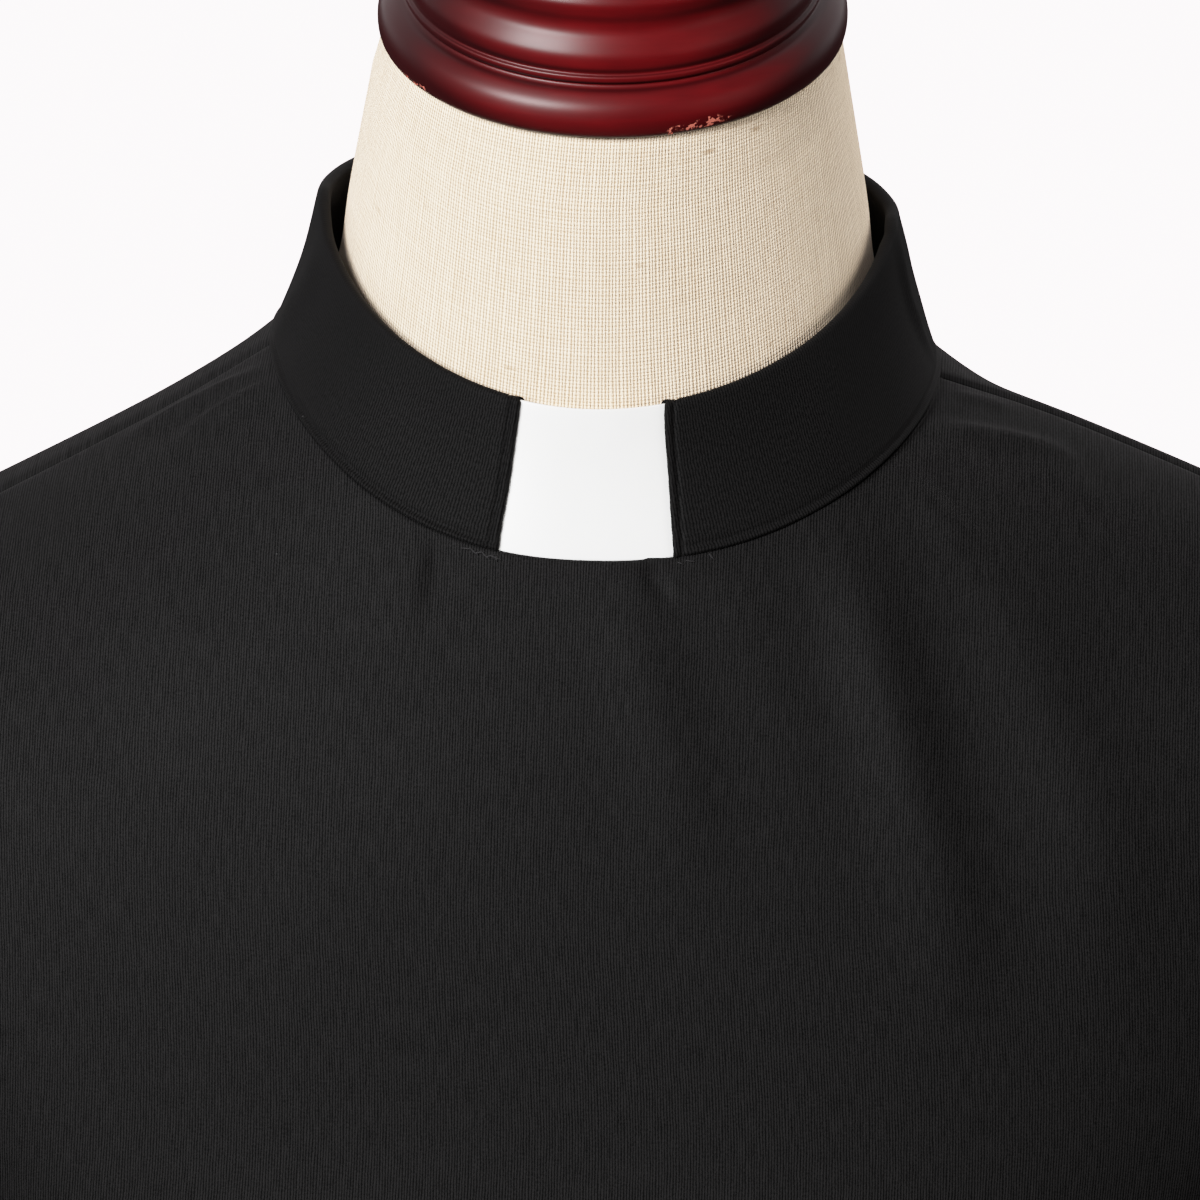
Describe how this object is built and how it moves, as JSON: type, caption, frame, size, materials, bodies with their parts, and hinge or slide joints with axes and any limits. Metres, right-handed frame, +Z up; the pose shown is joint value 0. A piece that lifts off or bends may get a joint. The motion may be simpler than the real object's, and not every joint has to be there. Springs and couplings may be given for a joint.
{
  "type": "clergy dress on a limbless dress form",
  "caption": "Knee-length black dress with long sleeves and a stand collar holding a white tab, shown on a limbless linen dress form with a turned wooden cap, pole and round base.",
  "frame": {"origin": "centre of the underside of the round base, on the floor", "axes": "+Z up the pole, the front of the dress faces -Y, +X towards the wearer's left"},
  "size_m": [0.5332, 0.388, 1.5202],
  "materials": {
    "black_cloth": "matte crepe with a fine upright grain",
    "white_tab": "smooth, soft gloss",
    "zip_metal": "black enamel",
    "linen_cover": "plain-woven natural linen",
    "lacquered_wood": "glossy dark red lacquer"
  },
  "bodies": {
    "dress_and_form": {"dress_front": "black_cloth", "dress_back_left": "black_cloth", "dress_back_right": "black_cloth", "sleeve_left": "black_cloth", "sleeve_right": "black_cloth", "collar_left": "black_cloth", "collar_right": "black_cloth", "zip_tape": "black_cloth", "collar_tab": "white_tab", "zip_slider": "zip_metal", "form_torso": "linen_cover", "form_cap": "lacquered_wood", "form_pole": "lacquered_wood", "form_base": "lacquered_wood"},
    "pull": {"zip_pull": "zip_metal"}
  },
  "joints": [
    {"name": "zip_pull_hinge", "type": "hinge", "parent": "dress_and_form", "child": "pull", "pos_m": [0, 0.0584, 1.41713], "axis": [1, 0, 0], "range_deg": [0, 150]}
  ]
}
